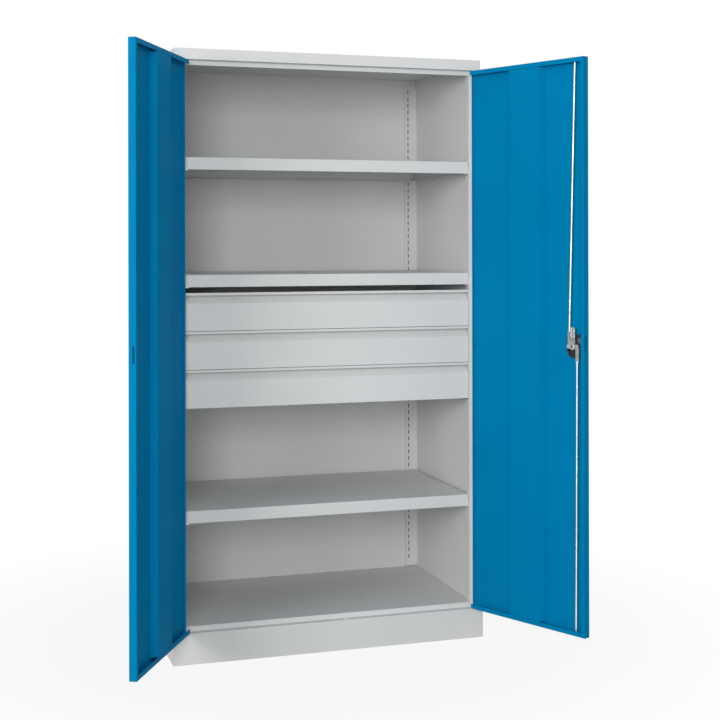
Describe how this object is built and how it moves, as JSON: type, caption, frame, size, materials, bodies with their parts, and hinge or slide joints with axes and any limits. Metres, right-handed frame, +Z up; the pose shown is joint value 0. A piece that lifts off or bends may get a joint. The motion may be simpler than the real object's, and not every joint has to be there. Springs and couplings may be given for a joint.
{
  "type": "storage cabinet",
  "caption": "Heavy-duty steel storage cabinet with two swing doors, a three-point rod lock, shelves and roller drawers.",
  "frame": {"origin": "on the floor, at the middle of the plinth's footprint", "axes": "+Z up, +Y from the doors to the back, +X to the right as seen from the front"},
  "size_m": [1.4518, 1.0693, 1.98],
  "materials": {
    "grey_powder_coat": "fine-textured light grey powder coat",
    "blue_powder_coat": "fine-textured blue powder coat",
    "zinc_steel": "bright zinc plate",
    "roller_nylon": "natural nylon",
    "black_plastic": "fine-grained black moulding",
    "satin_chrome": "satin chrome plate"
  },
  "bodies": {
    "cabinet": {"drawer_1_runners": "zinc_steel", "drawer_2_runners": "zinc_steel", "drawer_3_runners": "zinc_steel", "floor_panel": "grey_powder_coat", "left_hinge_pin": "zinc_steel", "left_hinge_post_leaf": "grey_powder_coat", "lining_screws": "zinc_steel", "plinth": "grey_powder_coat", "rear_panel": "grey_powder_coat", "rear_rail_left": "grey_powder_coat", "rear_rail_right": "grey_powder_coat", "right_hinge_pin": "zinc_steel", "right_hinge_post_leaf": "grey_powder_coat", "roof": "grey_powder_coat", "shelf_1": "grey_powder_coat", "shelf_2": "grey_powder_coat", "shelf_3": "grey_powder_coat", "shelf_clips": "zinc_steel", "side_lining_left": "grey_powder_coat", "side_lining_right": "grey_powder_coat", "side_panel_left": "grey_powder_coat", "side_panel_right": "grey_powder_coat"},
    "left_door": {"left_door_skin": "blue_powder_coat", "left_door_stiffener": "blue_powder_coat", "left_hinge_door_leaf": "blue_powder_coat"},
    "right_door": {"right_door_skin": "blue_powder_coat", "right_door_stiffener": "blue_powder_coat", "right_hinge_door_leaf": "blue_powder_coat", "lock_housing": "black_plastic", "lock_body": "zinc_steel", "handle_rose": "black_plastic"},
    "lock": {"handle": "black_plastic", "lock_spindle": "zinc_steel", "lock_cam": "zinc_steel", "cam_screw": "zinc_steel"},
    "cylinder": {"lock_cylinder": "satin_chrome"},
    "upper_rod": {"upper_rod": "zinc_steel"},
    "lower_rod": {"lower_rod": "zinc_steel"},
    "drawer_1": {"drawer_1_front": "grey_powder_coat", "drawer_1_box": "grey_powder_coat", "drawer_1_tracks": "zinc_steel"},
    "drawer_1_front_roller_pair": {"drawer_1_front_rollers": "roller_nylon"},
    "drawer_1_rear_roller_pair": {"drawer_1_rear_rollers": "roller_nylon"},
    "drawer_2": {"drawer_2_front": "grey_powder_coat", "drawer_2_box": "grey_powder_coat", "drawer_2_tracks": "zinc_steel"},
    "drawer_2_front_roller_pair": {"drawer_2_front_rollers": "roller_nylon"},
    "drawer_2_rear_roller_pair": {"drawer_2_rear_rollers": "roller_nylon"},
    "drawer_3": {"drawer_3_front": "grey_powder_coat", "drawer_3_box": "grey_powder_coat", "drawer_3_tracks": "zinc_steel"},
    "drawer_3_front_roller_pair": {"drawer_3_front_rollers": "roller_nylon"},
    "drawer_3_rear_roller_pair": {"drawer_3_rear_rollers": "roller_nylon"}
  },
  "joints": [
    {"name": "left_door_swing", "type": "hinge", "parent": "cabinet", "child": "left_door", "pos_m": [-0.5028, -0.3016, 1.022], "axis": [0, 0, -1], "range_deg": [-118, 52]},
    {"name": "right_door_swing", "type": "hinge", "parent": "cabinet", "child": "right_door", "pos_m": [0.5028, -0.3016, 1.022], "axis": [0, 0, 1], "range_deg": [-114.1, 55.9]},
    {"name": "lock_turn", "type": "hinge", "parent": "right_door", "child": "lock", "pos_m": [0.67232, -0.71633, 1.022], "axis": [-0.9128, -0.4083, 0], "range_deg": [-90, 0]},
    {"name": "cylinder_turn", "type": "hinge", "parent": "lock", "child": "cylinder", "pos_m": [0.68739, -0.70959, 1.022], "axis": [-0.9128, -0.4083, 0], "range_deg": [-90, 0]},
    {"name": "upper_rod_swing", "type": "hinge", "parent": "lock", "child": "upper_rod", "pos_m": [0.66695, -0.70066, 1.022], "axis": [-0.9128, -0.4083, 0], "range_deg": [0, 91.03]},
    {"name": "lower_rod_swing", "type": "hinge", "parent": "lock", "child": "lower_rod", "pos_m": [0.68043, -0.73078, 1.022], "axis": [-0.9128, -0.4083, 0], "range_deg": [0, 91.05]},
    {"name": "drawer_1_slide", "type": "slide", "parent": "cabinet", "child": "drawer_1", "axis": [0, -1, 0], "range_m": [0, 0.37]},
    {"name": "drawer_1_front_rollers_turn", "type": "hinge", "parent": "cabinet", "child": "drawer_1_front_roller_pair", "pos_m": [0, -0.235, 1.0712], "axis": [1, 0, 0], "range_deg": [0, 2650.9]},
    {"name": "drawer_1_rear_rollers_turn", "type": "hinge", "parent": "drawer_1", "child": "drawer_1_rear_roller_pair", "pos_m": [0, 0.243, 1.0712], "axis": [1, 0, 0], "range_deg": [0, 2650.9]},
    {"name": "drawer_2_slide", "type": "slide", "parent": "cabinet", "child": "drawer_2", "axis": [0, -1, 0], "range_m": [0, 0.37]},
    {"name": "drawer_2_front_rollers_turn", "type": "hinge", "parent": "cabinet", "child": "drawer_2_front_roller_pair", "pos_m": [0, -0.235, 0.9462], "axis": [1, 0, 0], "range_deg": [0, 2650.9]},
    {"name": "drawer_2_rear_rollers_turn", "type": "hinge", "parent": "drawer_2", "child": "drawer_2_rear_roller_pair", "pos_m": [0, 0.243, 0.9462], "axis": [1, 0, 0], "range_deg": [0, 2650.9]},
    {"name": "drawer_3_slide", "type": "slide", "parent": "cabinet", "child": "drawer_3", "axis": [0, -1, 0], "range_m": [0, 0.37]},
    {"name": "drawer_3_front_rollers_turn", "type": "hinge", "parent": "cabinet", "child": "drawer_3_front_roller_pair", "pos_m": [0, -0.235, 0.8212], "axis": [1, 0, 0], "range_deg": [0, 2650.9]},
    {"name": "drawer_3_rear_rollers_turn", "type": "hinge", "parent": "drawer_3", "child": "drawer_3_rear_roller_pair", "pos_m": [0, 0.243, 0.8212], "axis": [1, 0, 0], "range_deg": [0, 2650.9]}
  ],
  "couplings": [
    {"joint": "upper_rod_swing", "follows": "lock_turn", "ratio": -1.0113},
    {"joint": "lower_rod_swing", "follows": "lock_turn", "ratio": -1.0116},
    {"joint": "drawer_1_front_rollers_turn", "follows": "drawer_1_slide", "rad_per_m": 125},
    {"joint": "drawer_1_rear_rollers_turn", "follows": "drawer_1_slide", "rad_per_m": 125},
    {"joint": "drawer_2_front_rollers_turn", "follows": "drawer_2_slide", "rad_per_m": 125},
    {"joint": "drawer_2_rear_rollers_turn", "follows": "drawer_2_slide", "rad_per_m": 125},
    {"joint": "drawer_3_front_rollers_turn", "follows": "drawer_3_slide", "rad_per_m": 125},
    {"joint": "drawer_3_rear_rollers_turn", "follows": "drawer_3_slide", "rad_per_m": 125}
  ]
}
